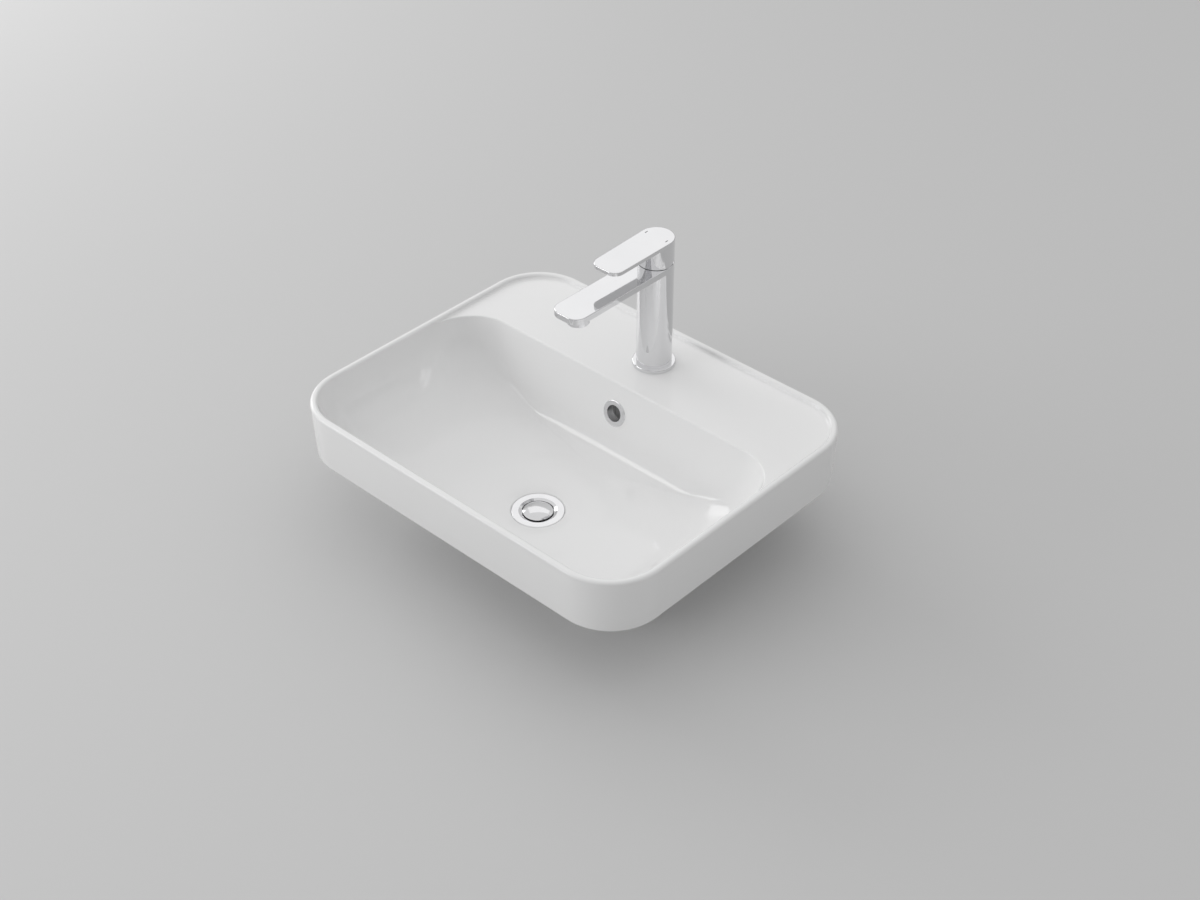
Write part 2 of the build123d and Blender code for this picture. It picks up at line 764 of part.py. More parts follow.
# Aerator
aerator_low = spout_bottom_z - nozzle_drop
with BuildPart() as aerator_housing:
    with BuildSketch(Plane.XY.offset(aerator_low)):
        with Locations((0, aerator_y)):
            Circle(aerator_radius)
    extrude(amount=aerator_length - aerator_seal_thickness)
    with BuildSketch(Plane.XY.offset(aerator_low)):
        with Locations((0, aerator_y)):
            Circle(aerator_lip_radius)
    extrude(amount=-aerator_lip)
    with Locations((0, aerator_y, aerator_low + aerator_length)):
        Hole(aerator_radius - aerator_wall, depth=2 * aerator_length)
aerator_housing.part.label = "aerator_housing"
export_step(aerator_housing.part, "parts/aerator_housing.step")

with BuildPart() as aerator_insert:
    with BuildSketch(Plane.XY.offset(aerator_low + insert_lift)):
        with Locations((0, aerator_y)):
            Circle(aerator_radius - aerator_wall)
            Circle(insert_hole, mode=Mode.SUBTRACT)
            for ring_size, ring_count in insert_rings:
                with PolarLocations(ring_size, ring_count):
                    Circle(insert_hole, mode=Mode.SUBTRACT)
    extrude(amount=insert_thickness)
aerator_insert.part.label = "aerator_insert"
export_step(aerator_insert.part, "parts/aerator_insert.step")

with BuildPart() as aerator_seal:
    with BuildSketch(Plane.XY.offset(aerator_low + aerator_length)):
        with Locations((0, aerator_y)):
            Circle(aerator_radius)
            Circle(aerator_radius - aerator_wall, mode=Mode.SUBTRACT)
    extrude(amount=-aerator_seal_thickness)
aerator_seal.part.label = "aerator_seal"
export_step(aerator_seal.part, "parts/aerator_seal.step")

# Cartridge
with BuildPart() as cartridge_seal:
    with BuildSketch(Plane.XY.offset(bore_floor_z)):
        with Locations((0, tap_y)):
            Circle(cartridge_radius)
        with Locations((-port_x, tap_y + port_y), (port_x, tap_y + port_y)):
            Circle(port_radius, mode=Mode.SUBTRACT)
    extrude(amount=cartridge_seal_thickness)
cartridge_seal.part.label = "cartridge_seal"
export_step(cartridge_seal.part, "parts/cartridge_seal.step")

with BuildPart() as cartridge_housing:
    with BuildSketch(Plane.XY.offset(cartridge_low)):
        with Locations((0, tap_y)):
            Circle(cartridge_radius)
    extrude(amount=cartridge_height)
    with BuildSketch(Plane.XY.offset(cartridge_top)):
        with Locations((0, tap_y)):
            Circle(cartridge_neck)
    extrude(amount=cartridge_neck_height)
    with BuildSketch(Plane.XY.offset(disc_low)):
        with Locations((0, tap_y)):
            Circle(cartridge_radius - cartridge_wall)
    extrude(amount=cartridge_height - 2 * cartridge_wall, mode=Mode.SUBTRACT)
    with Locations((0, tap_y, cartridge_top + cartridge_neck_height)):
        Hole(carrier_neck + carrier_gap, depth=cartridge_neck_height + cartridge_wall)
    with BuildSketch(Plane.XY.offset(cartridge_low)):
        with Locations((-port_x, tap_y + port_y), (port_x, tap_y + port_y)):
            Circle(port_radius)
    extrude(amount=cartridge_wall, mode=Mode.SUBTRACT)
    with BuildSketch(Plane.XY.offset(disc_low + disc_thickness)):
        with Locations((0, tap_y - cartridge_radius)):
            Rectangle(outlet_width, 2 * cartridge_wall + 1)
    extrude(amount=outlet_height, mode=Mode.SUBTRACT)
cartridge_housing.part.label = "cartridge_housing"
export_step(cartridge_housing.part, "parts/cartridge_housing.step")

with BuildPart() as fixed_disc:
    with BuildSketch(Plane.XY.offset(disc_low)):
        with Locations((0, tap_y)):
            Circle(disc_radius)
        with Locations((-port_x, tap_y + port_y), (port_x, tap_y + port_y)):
            Circle(port_radius, mode=Mode.SUBTRACT)
    extrude(amount=disc_thickness)
fixed_disc.part.label = "fixed_disc"
export_step(fixed_disc.part, "parts/fixed_disc.step")

# The moving disc carries a driver with a pocket for the spindle's finger.
with BuildPart() as moving_disc:
    with BuildSketch(Plane.XY.offset(disc_low + disc_thickness + disc_gap)):
        with Locations((0, tap_y)):
            Circle(moving_disc_radius)
    extrude(amount=disc_thickness)
    with BuildSketch(Plane.XY.offset(moving_disc_top)):
        with Locations((0, tap_y)):
            Circle(driver_radius)
    extrude(amount=driver_height)
    with BuildSketch(Plane.XY.offset(moving_disc_top + driver_height)):
        with Locations((0, tap_y)):
            Rectangle(finger_width + spindle_gap, driver_pocket)
    extrude(amount=-driver_pocket_depth, mode=Mode.SUBTRACT)
moving_disc.part.label = "moving_disc"
export_step(moving_disc.part, "parts/moving_disc.step")

with BuildPart() as spindle_carrier:
    with BuildSketch(Plane.XY.offset(carrier_top - carrier_flange)):
        with Locations((0, tap_y)):
            Circle(carrier_radius)
    extrude(amount=carrier_flange)
    with BuildSketch(Plane.XY.offset(carrier_top)):
        with Locations((0, tap_y)):
            Circle(carrier_neck)
    extrude(amount=pivot_z + carrier_neck_top - carrier_top)
    with BuildSketch(Plane.XY.offset(pivot_z + carrier_neck_top)):
        with Locations((0, tap_y)):
            Rectangle(2 * spindle_radius + 2 * spindle_gap, carrier_slot_length)
    extrude(amount=-carrier_neck_top - pivot_z + carrier_top - carrier_flange, mode=Mode.SUBTRACT)
    with BuildSketch(pivot_plane):
        Circle(pin_radius)
    extrude(amount=carrier_radius, both=True, mode=Mode.SUBTRACT)
spindle_carrier.part.label = "spindle_carrier"
export_step(spindle_carrier.part, "parts/spindle_carrier.step")

with BuildPart() as pivot_pin:
    with BuildSketch(pivot_plane):
        Circle(pin_radius)
    extrude(amount=pin_half_length, both=True)
pivot_pin.part.label = "pivot_pin"
export_step(pivot_pin.part, "parts/pivot_pin.step")

with BuildPart() as spindle:
    with BuildSketch(Plane.XY.offset(pivot_z - finger_drop / 2)):
        with Locations((0, tap_y)):
            Circle(spindle_radius)
    extrude(amount=finger_drop / 2 + spindle_round_top)
    with BuildSketch(Plane.XY.offset(pivot_z - finger_drop)):
        with Locations((0, tap_y)):
            Rectangle(finger_width, finger_width)
    extrude(amount=finger_drop / 2)
    with BuildSketch(Plane.XY.offset(pivot_z + spindle_round_top)):
        with Locations((0, tap_y)):
            Rectangle(spindle_square, spindle_square)
    extrude(amount=spindle_top - spindle_round_top)
    with BuildSketch(pivot_plane):
        Circle(pin_radius + pin_gap)
    extrude(amount=carrier_radius, both=True, mode=Mode.SUBTRACT)
spindle.part.label = "spindle"
export_step(spindle.part, "parts/spindle.step")

with BuildPart() as cartridge_nut:
    with BuildSketch(Plane.XY.offset(cartridge_top)):
        with Locations((0, tap_y)):
            Circle(cartridge_radius)
            Circle(nut_bore, mode=Mode.SUBTRACT)
    extrude(amount=nut_height)
    with BuildSketch(Plane.XY.offset(cartridge_top + nut_height)):
        with Locations((0, tap_y)):
            Rectangle(nut_notch, 3 * cartridge_radius)
            Rectangle(3 * cartridge_radius, nut_notch)
            Circle(cover_radius - cover_wall, mode=Mode.INTERSECT)
    extrude(amount=-nut_notch / 2, mode=Mode.SUBTRACT)
cartridge_nut.part.label = "cartridge_nut"
export_step(cartridge_nut.part, "parts/cartridge_nut.step")

# The cap is a slice of a hollow ball whose centre is the handle's pivot.
with BuildPart() as cartridge_cover:
    with BuildSketch(tap_section):
        with Locations((0, pivot_z)):
            Circle(cover_radius)
            Circle(cover_radius - cover_wall, mode=Mode.SUBTRACT)
        with Locations((cover_opening, cover_base_z)):
            Rectangle(cover_radius, cover_radius, align=(Align.MIN, Align.MIN), mode=Mode.INTERSECT)
    revolve(axis=tap_axis)
cartridge_cover.part.label = "cartridge_cover"
export_step(cartridge_cover.part, "parts/cartridge_cover.step")

# Handle: hub and flat lever in one casting.
with BuildPart() as handle:
    with BuildSketch(Plane.XY.offset(lever_top_z - 2 * lever_thickness)):
        add(lever_outline.sketch)
    extrude(amount=3 * lever_thickness)
    with Locations(Location((0, tap_y, lever_top_z), (lever_droop, 0, 0))):
        Box(basin_width, basin_depth, lever_thickness, align=on_top, mode=Mode.INTERSECT)
    fillet(handle.faces().sort_by(Axis.Z)[-1].edges(), edge_round)
    with BuildSketch(Plane.XY.offset(hub_low)):
        with Locations((0, tap_y)):
            Circle(column_radius)
    extrude(amount=lever_top_z - lever_thickness / 2 - hub_low)
    # Cavity over the cap, relief at the back so that the hub can tip, socket.
    with Locations((0, tap_y, pivot_z)):
        Sphere(hub_cavity, mode=Mode.SUBTRACT)
    with Locations(Location((0, tap_y, hub_low), (relief_angle, 0, 0))):
        Box(
            4 * column_radius,
            2 * column_radius,
            2 * column_radius,
            align=(Align.CENTER, Align.MIN, Align.MAX),
            mode=Mode.SUBTRACT,
        )
    with BuildSketch(Plane.XY.offset(pivot_z + spindle_top)):
        with Locations((0, tap_y)):
            Rectangle(spindle_square + 2 * socket_gap, spindle_square + 2 * socket_gap)
    extrude(amount=-spindle_top, mode=Mode.SUBTRACT)
    with BuildSketch(grub_plane):
        Circle(grub_radius)
    extrude(amount=column_radius, mode=Mode.SUBTRACT)
    with BuildSketch(grub_plane.offset(screw_plug_start)):
        Circle(screw_plug_radius)
    extrude(amount=column_radius, mode=Mode.SUBTRACT)
    with Locations((-mark_x, tap_y, mark_low), (mark_x, tap_y, mark_low)):
        Box(mark_width, mark_length, lever_thickness, align=on_base, mode=Mode.SUBTRACT)
handle.part.label = "handle"
export_step(handle.part, "parts/handle.step")

with BuildPart() as grub_screw:
    with BuildSketch(grub_plane.offset(spindle_square / 2)):
        Circle(grub_radius)
    extrude(amount=grub_length)
    with BuildSketch(grub_plane.offset(spindle_square / 2 + grub_length)):
        RegularPolygon(grub_radius / 2, 6)
    extrude(amount=-grub_length / 2, mode=Mode.SUBTRACT)
grub_screw.part.label = "grub_screw"
export_step(grub_screw.part, "parts/grub_screw.step")

with BuildPart() as screw_plug:
    with BuildSketch(grub_plane.offset(screw_plug_start)):
        Circle(screw_plug_radius)
    extrude(amount=screw_plug_length)
screw_plug.part.label = "screw_plug"
export_step(screw_plug.part, "parts/screw_plug.step")

for side, mark_name in ((-1, "hot_mark"), (1, "cold_mark")):
    with BuildPart() as mark:
        with Locations((side * mark_x, tap_y, mark_low)):
            Box(mark_width, mark_length, mark_depth + mark_proud, align=on_base)
    mark.part.label = mark_name
    export_step(mark.part, f"parts/{mark_name}.step")
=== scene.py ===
# %% [markdown]
# # A basin with its mixer tap and pop-up waste
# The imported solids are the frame. They give every place and size, so this
# lesson only adds what a picture needs: a finer china surface, finishes for
# every piece, a floor, lamps and a camera.

# %% Load the frame
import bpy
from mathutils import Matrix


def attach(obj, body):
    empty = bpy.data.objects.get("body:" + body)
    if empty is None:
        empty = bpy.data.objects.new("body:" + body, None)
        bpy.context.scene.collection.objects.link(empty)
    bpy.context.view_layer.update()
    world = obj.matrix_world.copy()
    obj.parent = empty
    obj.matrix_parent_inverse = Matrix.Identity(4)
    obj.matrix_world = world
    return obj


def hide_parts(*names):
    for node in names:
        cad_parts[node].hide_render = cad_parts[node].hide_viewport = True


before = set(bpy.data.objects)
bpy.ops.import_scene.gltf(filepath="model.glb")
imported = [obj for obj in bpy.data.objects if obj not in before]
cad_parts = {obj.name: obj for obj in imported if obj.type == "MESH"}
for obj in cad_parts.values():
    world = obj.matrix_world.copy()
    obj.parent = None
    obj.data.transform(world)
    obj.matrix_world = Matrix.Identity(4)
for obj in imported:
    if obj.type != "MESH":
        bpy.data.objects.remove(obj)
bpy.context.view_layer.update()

# %% Modules
import math
import bpy
import bmesh
from mathutils import Vector
from mathutils.bvhtree import BVHTree

MM = 0.001
scene = bpy.context.scene

# %% [markdown]
# ## Sizes of the china
# A real basin is cast in a mould, so its faces run into each other through
# soft radii. The solids have these same sizes. They are written here again in
# millimetres, because the glaze shows every flat facet and needs finer rings.

# %% Sizes of the china
HALF_WIDTH, HALF_DEPTH, RIM_Z = 260.0, 210.0, 162.0
BAND_HEIGHT, BAND_LEAN = 72.0, 2.2
OUTER_CORNER, RIM_WIDTH, RIM_ROUND, BAND_ROUND = 70.0, 8.0, 3.6, 5.0
LIP_HEIGHT, LIP_LEAN = 5.5, 15.0
DECK_EDGE_Y, WASTE_Y, WASTE_DEPTH = 82.0, -58.5, 112.3
TAP_Y, TAP_HOLE = 143.0, 17.5
DECK_Z = RIM_Z - LIP_HEIGHT
FLOOR_START, CORNER_START = 34.5, 70.0
# Each wall of the bowl: its lean, its bend's radius and its floor's fall.
SIDE_WALL, FRONT_WALL, BACK_WALL = (LIP_LEAN, 100.0, 6.5), (15.0, 60.0, 6.0), (12.5, 42.0, 4.5)
ROUNDEST = 0.97


def tan(degrees):
    return math.tan(math.radians(degrees))


SIDE_MOUTH = HALF_WIDTH - RIM_WIDTH
FRONT_MOUTH = HALF_DEPTH - RIM_WIDTH + WASTE_Y
BACK_MOUTH = DECK_EDGE_Y + LIP_HEIGHT * tan(BACK_WALL[0]) - WASTE_Y
print("mouth of the bowl", SIDE_MOUTH, FRONT_MOUTH, BACK_MOUTH)

# %% [markdown]
# ## How far the bowl reaches at each depth
# Each side of the bowl is a leaning wall, an arc and a floor that falls to the
# waste. Working the reach out from those three gives a true curve at any
# depth, which a sculpted shape would only come near.


# %% Reach and outline of the bowl
def bowl_reach(depth, mouth, lean, bend, fall):
    lean, fall = math.radians(lean), math.radians(fall)
    a, b = -math.cos(lean), math.sin(lean)
    c, d = -math.sin(fall), math.cos(fall)
    first = bend + a * mouth
    second = bend + c * FLOOR_START - d * WASTE_DEPTH
    across = a * d - b * c
    centre = (first * d - b * second) / across
    height = (a * second - c * first) / across
    if -depth >= height - bend * b:
        return mouth - depth * math.tan(lean)
    if -depth >= height - bend * d:
        return centre + math.sqrt(bend**2 - (depth + height) ** 2)
    return FLOOR_START + (WASTE_DEPTH - depth) / math.tan(fall)


def bowl_outline(depth):
    side = bowl_reach(depth, SIDE_MOUTH, *SIDE_WALL)
    front = bowl_reach(depth, FRONT_MOUTH, *FRONT_WALL)
    back = bowl_reach(depth, BACK_MOUTH, *BACK_WALL)
    small = min(side, (front + back) / 2)
    inner = OUTER_CORNER - RIM_WIDTH - LIP_HEIGHT * tan(LIP_LEAN)
    at_deck = inner / ((FRONT_MOUTH + BACK_MOUTH) / 2 - LIP_HEIGHT * tan(LIP_LEAN))
    share = max(0.0, (depth - CORNER_START) / (WASTE_DEPTH - CORNER_START))
    corner = small * (at_deck + (ROUNDEST - at_deck) * share**2)
    return side, WASTE_Y - front, WASTE_Y + back, corner


print("bowl outline 50 mm down", [round(v, 1) for v in bowl_outline(50)])

# %% [markdown]
# ## Rings of points
# The surface is a stack of closed rings with the same number of points, so
# that two rings join into clean four-sided faces. The bowl turns its back
# corner early, and the rim runs straight on to its own corner. The same
# points serve both, and the space that opens between them is the tap deck.

# %% Ring of points
FRONT_STEPS, CORNER_STEPS, SIDE_STEPS, BACK_CORNER_STEPS = 24, 26, 20, 60
WIDE_BACK, FINE_BACK, FINE_SHARE = 14, 18, 0.12


def arc(x, y, radius, start, stop, steps):
    turn = math.radians(stop - start) / steps
    at = [math.radians(start) + turn * i for i in range(1, steps + 1)]
    return [(x + radius * math.cos(t), y + radius * math.sin(t)) for t in at]


def ring(half, front, back, corner, split=None):
    """Points of a rounded rectangle. With a split, the side runs straight on past it."""
    fx = half - corner
    right = [(fx * i / FRONT_STEPS, front) for i in range(FRONT_STEPS + 1)]
    right += arc(fx, front + corner, corner, -90, 0, CORNER_STEPS)
    end = back - corner if split is None else split
    start = front + corner
    right += [(half, start + (end - start) * i / SIDE_STEPS) for i in range(1, SIDE_STEPS + 1)]
    if split is None:
        right += arc(fx, back - corner, corner, 0, 90, BACK_CORNER_STEPS)
    else:
        run = BACK_CORNER_STEPS // 2
        right += [(half, split + (back - corner - split) * i / run) for i in range(1, run + 1)]
        right += arc(fx, back - corner, corner, 0, 90, BACK_CORNER_STEPS - run)
    wide = [1 - (1 - FINE_SHARE) * i / WIDE_BACK for i in range(1, WIDE_BACK + 1)]
    fine = [FINE_SHARE * (1 - i / FINE_BACK) for i in range(1, FINE_BACK + 1)]
    right += [(fx * share, back) for share in wide + fine]
    left = [(-x, y) for x, y in right[-2:0:-1]]
    return right + left


mouth_half, mouth_front, mouth_back, mouth_corner = bowl_outline(LIP_HEIGHT)
SPLIT_Y = mouth_back - mouth_corner
mouth_ring = ring(mouth_half, mouth_front, mouth_back, mouth_corner)
COUNT = len(mouth_ring)
print("points in a ring", COUNT, "split at", round(SPLIT_Y, 1))


def rim_ring(inset):
    """The basin's outline, moved in by the inset."""
    half, back = HALF_WIDTH - inset, HALF_DEPTH - inset
    return ring(half, -back, back, OUTER_CORNER - inset, SPLIT_Y)


# %% [markdown]
# ## The band and the rim
# The band leans in towards the counter and ends in a soft edge above it. The
# rim is a narrow rounded ridge. Both are one profile with its corners turned
# into arcs, carried round the outline.


# %% Round the corners of a profile
ARC_STEPS = 8


def round_profile(points, radii):
    out = [Vector(points[0])]
    for before, at, after, radius in zip(points, points[1:], points[2:], radii):
        before, at, after = Vector(before), Vector(at), Vector(after)
        u, v = (before - at).normalized(), (after - at).normalized()
        half = u.angle(v) / 2
        reach = radius / math.tan(half)
        centre = at + (u + v).normalized() * radius / math.sin(half)
        start, stop = at + u * reach - centre, at + v * reach - centre
        whole = start.angle(stop)
        for i in range(ARC_STEPS + 1):
            t = i / ARC_STEPS
            mix = start * math.sin((1 - t) * whole) + stop * math.sin(t * whole)
            out.append(centre + mix / math.sin(whole))
    out.append(Vector(points[-1]))
    return out


BAND_FOOT = BAND_HEIGHT * tan(BAND_LEAN)
POCKET_FOOT = RIM_WIDTH + LIP_HEIGHT * tan(LIP_LEAN)
LEDGE_LAP = 12.0
band_profile = round_profile(
    [
        (BAND_FOOT + LEDGE_LAP, RIM_Z - BAND_HEIGHT),
        (BAND_FOOT, RIM_Z - BAND_HEIGHT),
        (0.0, RIM_Z),
        (RIM_WIDTH, RIM_Z),
        (POCKET_FOOT, DECK_Z),
    ],
    (BAND_ROUND, RIM_ROUND, RIM_ROUND),
)[:-1]
print("points in the band's profile", len(band_profile))

# %% [markdown]
# ## Where the deck opens
# In front, the pocket's wall is the bowl's wall. Behind, the deck lies between
# them, with a hollow radius at the lip and a small round edge at the bowl. Both
# radii grow with the room there is, so the deck starts from nothing.

# %% Radii at the deck
LIP_RADIUS, EDGE_RADIUS, FLAT_MARGIN = 3.9, 2.2, 0.5
LIP_SHARE, EDGE_SHARE, FLAT_SHARE, ON_DECK, JUST_SHORT = 0.8, 0.4, 0.03, 99.0, 0.01
FRONT_PART = FRONT_STEPS + CORNER_STEPS + SIDE_STEPS


def in_front(i):
    return min(i, COUNT - i) <= FRONT_PART


def room_at(y):
    """How far the side of the rim stands from the bowl's corner at this point."""
    if y >= mouth_back:
        return ON_DECK
    rise = max(0.0, y - SPLIT_Y)
    return mouth_corner - math.sqrt(max(0.0, mouth_corner**2 - rise**2))


def normals(points):
    out = []
    for i in range(len(points)):
        (ax, ay), (bx, by) = points[i - 1], points[(i + 1) % len(points)]
        length = math.hypot(bx - ax, by - ay)
        out.append(((by - ay) / length, (ax - bx) / length))
    return out


def room_beside(x, y):
    """The same room, seen from a point on the bowl's mouth."""
    return ON_DECK if y > mouth_back - JUST_SHORT else max(0.0, mouth_half - abs(x))


lip_foot = rim_ring(POCKET_FOOT)
foot_ring = [mouth_ring[i] if in_front(i) else lip_foot[i] for i in range(COUNT)]
foot_out, mouth_out = normals(foot_ring), normals(mouth_ring)
room_foot = [0.0 if in_front(i) else room_at(foot_ring[i][1]) for i in range(COUNT)]
room_mouth = [0.0 if in_front(i) else room_beside(*mouth_ring[i]) for i in range(COUNT)]
print("points with no deck beside them", sum(room == 0.0 for room in room_foot))

# %% [markdown]
# ## Build the china from its rings
# Every ring is laid down in order: ledge, band, rim, lip, deck edge, bowl,
# floor and the dip round the waste. The deck itself is flat, so it is filled
# last, with the tap hole left open.

# %% Lay the rings
china = bmesh.new()


def lay(points):
    return [china.verts.new((x * MM, y * MM, z * MM)) for x, y, z in points]


def join(first, second):
    for i in range(COUNT):
        j = (i + 1) % COUNT
        china.faces.new((first[i], second[i], second[j], first[j]))


def lay_stack(stack):
    laid = [lay(points) for points in stack]
    for first, second in zip(laid, laid[1:]):
        join(first, second)
    return laid


def shifted(base, outward, i, away, z):
    """A point of a ring, moved outwards by away and set to its height."""
    return (base[i][0] + outward[i][0] * away, base[i][1] + outward[i][1] * away, z)


outer_stack = [[(x, y, z) for x, y in rim_ring(inset)] for inset, z in band_profile]
LIP_TURN = 90.0 - LIP_LEAN
lip_radius = [min(LIP_RADIUS, LIP_SHARE * room) for room in room_foot]
for step in range(ARC_STEPS + 1):
    angle = math.radians(LIP_LEAN + LIP_TURN * step / ARC_STEPS)
    points = []
    for i, radius in enumerate(lip_radius):
        away = radius * tan(LIP_TURN / 2) - radius * math.cos(angle)
        points.append(shifted(foot_ring, foot_out, i, -away, DECK_Z + radius * (1 - math.sin(angle))))
    outer_stack.append(points)
points = []
for i, radius in enumerate(lip_radius):
    away = radius * tan(LIP_TURN / 2) + min(FLAT_MARGIN, FLAT_SHARE * room_foot[i])
    points.append(shifted(foot_ring, foot_out, i, -away, DECK_Z))
outer_stack.append(points)
outer_laid = lay_stack(outer_stack)
print("rings outside the deck", len(outer_laid))

# %% [markdown]
# ## The inside of the bowl
# The rings lie close together where the surface bends, and closest behind,
# where the overflow's round hole is cut. Equal steps along the wall's own
# length keep the faces even from the steep wall to the almost level floor.

# %% Depths of the bowl's rings
FIRST_DEPTH, LAST_REACH = 9.0, 47.0
OVERFLOW_TOP, OVERFLOW_LOW, FINE_STEP, WIDE_STEP, SHORT_STEP = 24.0, 64.0, 1.5, 2.6, 0.02
depths, depth, travelled = [FIRST_DEPTH], FIRST_DEPTH, 0.0
while True:
    deeper = depth + SHORT_STEP
    here, there = bowl_outline(depth), bowl_outline(deeper)
    if WASTE_Y - there[1] < LAST_REACH:
        break
    travelled += math.hypot(SHORT_STEP, max(here[0] - there[0], here[2] - there[2], there[1] - here[1]))
    depth = deeper
    wanted = FINE_STEP if OVERFLOW_TOP < depth < OVERFLOW_LOW else WIDE_STEP
    if travelled >= wanted:
        depths.append(depth)
        travelled = 0.0
print("rings in the bowl", len(depths), "last depth", round(depths[-1], 2))

# %% Lay the bowl
EDGE_TURN = 90.0 - BACK_WALL[0]
edge_radius = [min(EDGE_RADIUS, EDGE_SHARE * room) for room in room_mouth]
points = []
for i, radius in enumerate(edge_radius):
    away = radius * tan(EDGE_TURN / 2) + min(FLAT_MARGIN, FLAT_SHARE * room_mouth[i])
    points.append(shifted(mouth_ring, mouth_out, i, away, DECK_Z))
inner_stack = [points]
for step in range(ARC_STEPS + 1):
    angle = math.radians(EDGE_TURN * step / ARC_STEPS)
    points = []
    for i, radius in enumerate(edge_radius):
        away = radius * (tan(EDGE_TURN / 2) - math.sin(angle))
        points.append(shifted(mouth_ring, mouth_out, i, away, DECK_Z - radius * (1 - math.cos(angle))))
    inner_stack.append(points)
for depth in depths:
    inner_stack.append([(x, y, RIM_Z - depth) for x, y in ring(*bowl_outline(depth))])

# %% [markdown]
# ## The dip round the waste
# The floor dips a little before the chrome flange, so the last water runs in.
# The rings turn from the bowl's outline into the flange's circle, and a smooth
# curve carries the height from the one slope to the other.

# %% Dip and seat
SEAT_RADIUS, SEAT_Z, SEAT_FLOOR_Z, SEAT_IN = 31.9, 48.0, 44.9, 29.0
DIP_SLOPE, FLOOR_SLOPE, DIP_RINGS = 15.0, 6.0, 10
last = inner_stack[-1]
circle = []
for x, y, z in last:
    length = math.hypot(x, y - WASTE_Y)
    circle.append((x / length, (y - WASTE_Y) / length, length))
for step in range(1, DIP_RINGS + 1):
    t = step / DIP_RINGS
    points = []
    for (cx, cy, length), (x, y, z) in zip(circle, last):
        run = length - SEAT_RADIUS
        radius = length - run * t
        smooth = t * t * (3 - 2 * t)
        rise = z * (1 - smooth) + SEAT_Z * smooth
        rise -= tan(FLOOR_SLOPE) * run * t * (1 - t) ** 2
        rise += tan(DIP_SLOPE) * run * t * t * (1 - t)
        points.append((cx * radius, WASTE_Y + cy * radius, rise))
    inner_stack.append(points)
for radius, z in ((SEAT_RADIUS, SEAT_FLOOR_Z), (SEAT_IN, SEAT_FLOOR_Z)):
    inner_stack.append([(cx * radius, WASTE_Y + cy * radius, z) for cx, cy, length in circle])
inner_laid = lay_stack(inner_stack)
print("rings inside the deck", len(inner_laid))

# %% Close the wall and fill the deck
MERGE, FLAT_ENOUGH = 2e-6, 1e-6
bmesh.ops.remove_doubles(china, verts=china.verts[:], dist=MERGE)
china.verts.ensure_lookup_table()
open_edges = [
    e for e in china.edges
    if e.is_boundary and all(abs(v.co.z - DECK_Z * MM) < FLAT_ENOUGH for v in e.verts)
]
HOLE_POINTS = 96
turns = [2 * math.pi * i / HOLE_POINTS for i in range(HOLE_POINTS)]
hole = lay([(TAP_HOLE * math.cos(t), TAP_Y + TAP_HOLE * math.sin(t), DECK_Z) for t in turns])
hole_edges = [china.edges.new((hole[i - 1], hole[i])) for i in range(HOLE_POINTS)]
filled = bmesh.ops.triangle_fill(china, use_beauty=True, edges=open_edges + hole_edges)
deck_faces = [g for g in filled["geom"] if isinstance(g, bmesh.types.BMFace)]
tap_axis = Vector((0, TAP_Y, DECK_Z)) * MM
INSIDE_HOLE = 0.9 * TAP_HOLE * MM
inside = [f for f in deck_faces if (f.calc_center_median() - tap_axis).length < INSIDE_HOLE]
bmesh.ops.delete(china, geom=inside, context="FACES")
print("open edges round the deck", len(open_edges), "faces on the deck", len(deck_faces) - len(inside))

# %% [markdown]
# ## The overflow's hole
# The chrome ring sits in a round hole in the back wall. The faces inside the
# ring go, and the edge they leave is drawn out to a true circle that the
# ring's flange covers.

# %% Overflow hole
OVERFLOW_Z, OVERFLOW_CUT, OVERFLOW_EDGE = 118.0, 12.4, 14.6
NEAR_WALL, NEAR_HOLE = 6.0, 18.0
overflow_y = DECK_EDGE_Y - (DECK_Z - OVERFLOW_Z) * tan(BACK_WALL[0])
overflow_at = Vector((0, overflow_y, OVERFLOW_Z)) * MM
overflow_axis = Vector((0, -1, tan(BACK_WALL[0]))).normalized()


def from_overflow(point):
    apart = point - overflow_at
    along = apart.dot(overflow_axis)
    return apart - overflow_axis * along, along


def at_overflow(point, radius):
    """Whether a point of the bowl's back wall lies within the radius of the hole's axis."""
    across, along = from_overflow(point)
    return across.length < radius * MM and abs(along) < NEAR_WALL * MM


gone = [f for f in china.faces if any(at_overflow(v.co, OVERFLOW_CUT) for v in f.verts)]
bmesh.ops.delete(china, geom=gone, context="FACES")
moved = 0
for vert in china.verts:
    if vert.is_boundary and at_overflow(vert.co, NEAR_HOLE):
        across, along = from_overflow(vert.co)
        vert.co = overflow_at + across.normalized() * OVERFLOW_EDGE * MM + overflow_axis * along
        moved += 1
print("faces taken out", len(gone), "points drawn to the circle", moved)

# %% [markdown]
# ## The underside
# Below the ledge nobody sees a gloss line, so the solid's own faces are good
# enough there. Those that the finer surface already covers are left out, and
# the rest joins it in one piece.

# %% Add the underside
COVERED, LEVEL_WITH, SHARP_ANGLE = 1.3 * MM, 1e-5, math.radians(32)
LEDGE_Z = (RIM_Z - BAND_HEIGHT) * MM
bmesh.ops.recalc_face_normals(china, faces=china.faces[:])
probe = BVHTree.FromBMesh(china)
under = bmesh.new()
under.from_mesh(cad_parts["basin_body"].data)
bmesh.ops.remove_doubles(under, verts=under.verts[:], dist=MERGE)


def covered(face):
    if all(abs(v.co.z - LEDGE_Z) < LEVEL_WITH for v in face.verts):
        return False
    spots = [face.calc_center_median()] + [v.co for v in face.verts]
    return all(probe.find_nearest(spot)[3] < COVERED for spot in spots)


